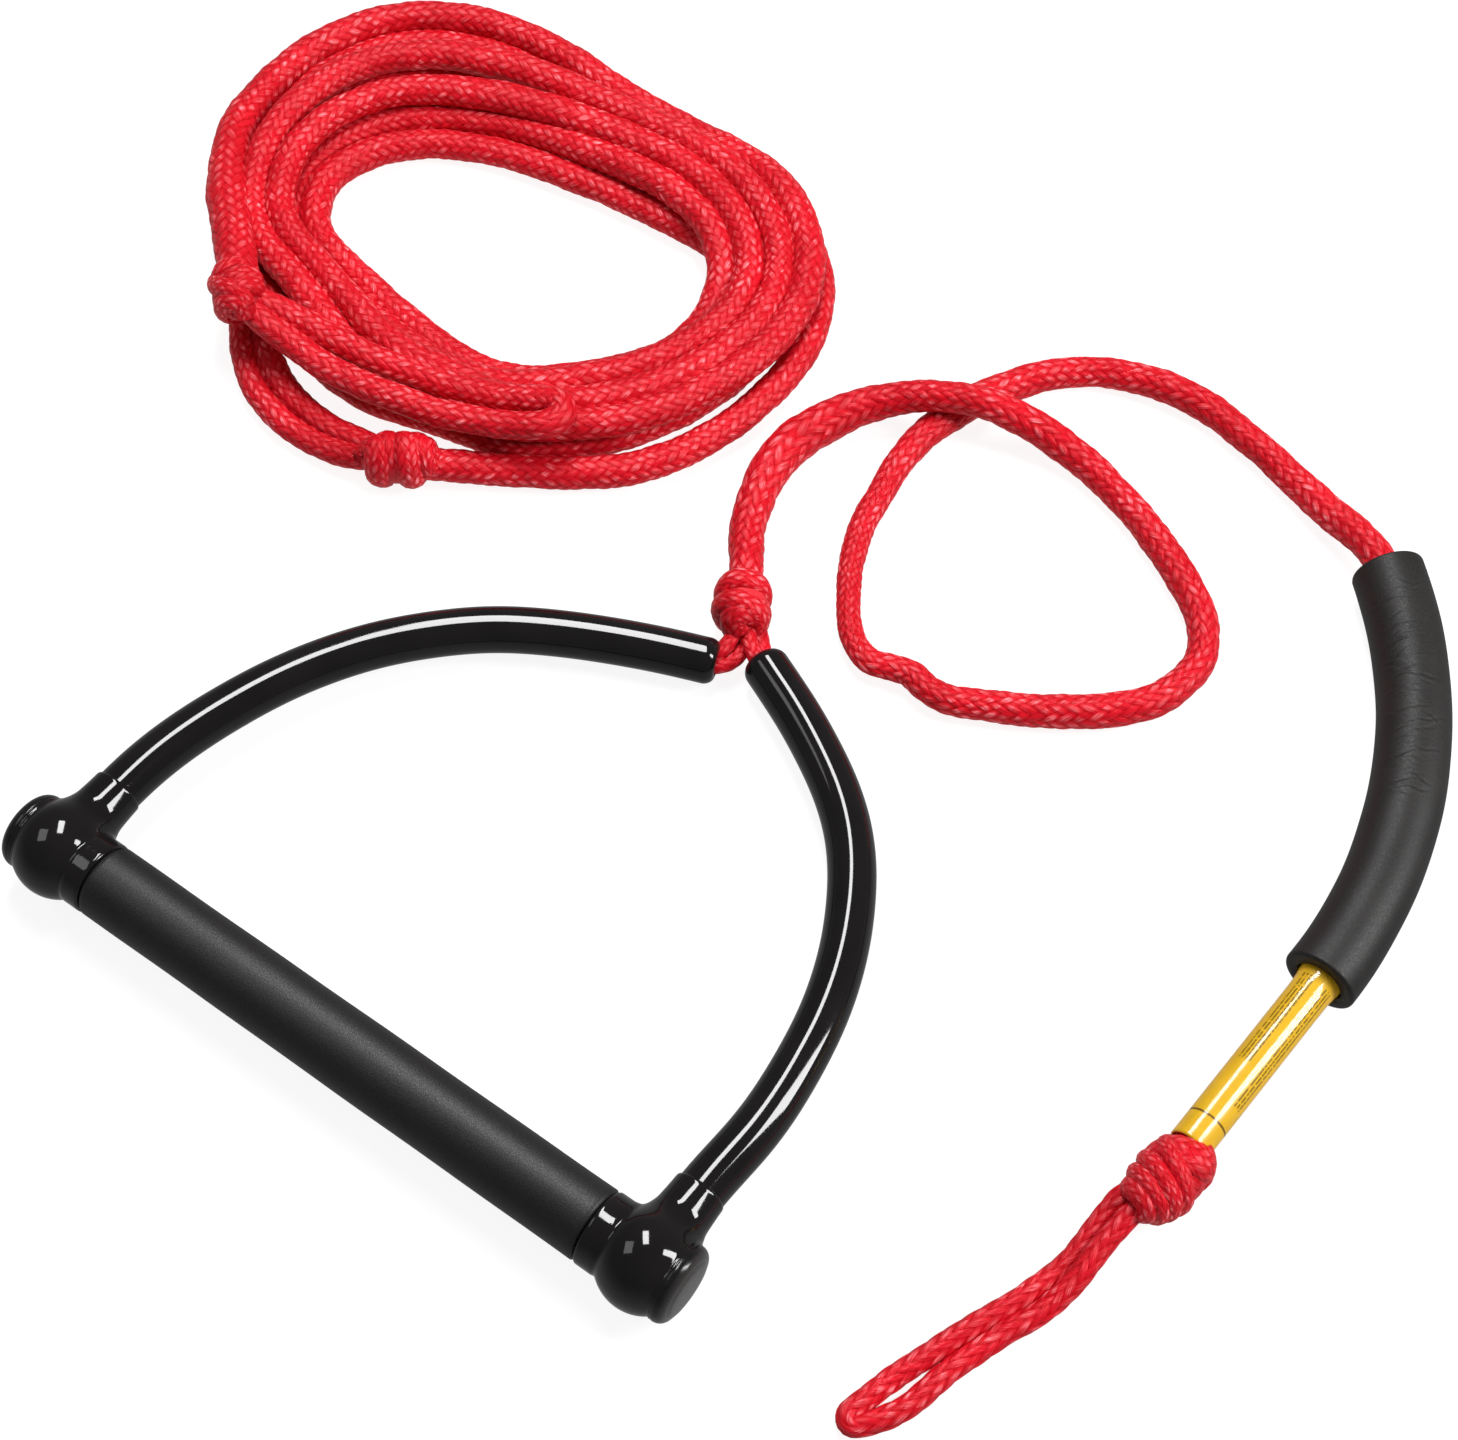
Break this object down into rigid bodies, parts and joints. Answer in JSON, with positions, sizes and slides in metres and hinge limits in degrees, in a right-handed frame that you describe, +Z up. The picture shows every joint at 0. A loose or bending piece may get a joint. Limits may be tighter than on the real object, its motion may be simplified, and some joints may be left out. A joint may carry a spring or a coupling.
{
  "type": "tow rope handle",
  "caption": "Foam-gripped tow bar with curved arm tubes on a knotted rope bridle, a braided line with foam float, label sleeve and end loop, and a coiled tow line with eyes.",
  "frame": {"origin": "under the middle of the handle (bar, arms and apex knot), on the surface it lies on", "axes": "+X along the bar towards its right end, +Y from the bar towards the apex knot, +Z up from the floor"},
  "size_m": [0.6113, 0.4556, 0.0402],
  "materials": {
    "bar_tube": "drawn tube",
    "white_foam": "closed-cell foam",
    "grip_foam": "matte fine-cell foam",
    "black_vinyl": "high gloss",
    "red_rope": "glossy hollow braid",
    "float_foam": "matte foam with skin",
    "clear_sleeve": "clear",
    "yellow_label": "satin film"
  },
  "bodies": {
    "handle": {"core_tube": "bar_tube", "core_foam": "white_foam", "grip_sleeve": "grip_foam", "end_boot_left": "black_vinyl", "end_boot_right": "black_vinyl", "end_plug_left": "black_vinyl", "end_plug_right": "black_vinyl", "arm_tube_left": "black_vinyl", "arm_tube_right": "black_vinyl", "bridle_rope_left": "red_rope", "bridle_rope_right": "red_rope", "stopper_knot_left": "red_rope", "stopper_knot_right": "red_rope", "handle_knot": "red_rope"},
    "line": {"handle_line": "red_rope", "end_knot": "red_rope"},
    "float": {"float_sleeve": "float_foam"},
    "label": {"label_sleeve": "clear_sleeve", "label_wrap": "yellow_label"},
    "end_eye": {"end_loop": "red_rope"},
    "coil": {"tow_line_coil": "red_rope", "coil_knot_a": "red_rope", "coil_knot_b": "red_rope", "coil_eye_b": "red_rope"},
    "coil_eye": {"coil_eye_a": "red_rope"}
  },
  "joints": [
    {"name": "line_lift", "type": "hinge", "parent": "handle", "child": "line", "pos_m": [0.0035, 0.1205, 0.0123], "axis": [1, 0, 0], "range_deg": [-90, 110]},
    {"name": "float_slide", "type": "hinge", "parent": "line", "child": "float", "pos_m": [0.054, 0.1255, 0.0144], "axis": [0, 0, 1], "range_deg": [-5.5, 1.5]},
    {"name": "label_spin", "type": "hinge", "parent": "line", "child": "label", "pos_m": [0.2666, 0.1125, 0.0144], "axis": [-0.061, -0.9981, 0], "continuous": true},
    {"name": "end_loop_swing", "type": "hinge", "parent": "line", "child": "end_eye", "pos_m": [0.2603, 0.0201, 0.0136], "axis": [0, 0, 1], "range_deg": [-50, 60]},
    {"name": "coil_lift", "type": "slide", "parent": "handle", "child": "coil", "axis": [0, 0, 1], "range_m": [0, 0.25]},
    {"name": "coil_eye_lift", "type": "hinge", "parent": "coil", "child": "coil_eye", "pos_m": [-0.25, 0.1195, 0.0302], "axis": [0.2, -0.9798, 0], "range_deg": [0, 100]}
  ]
}
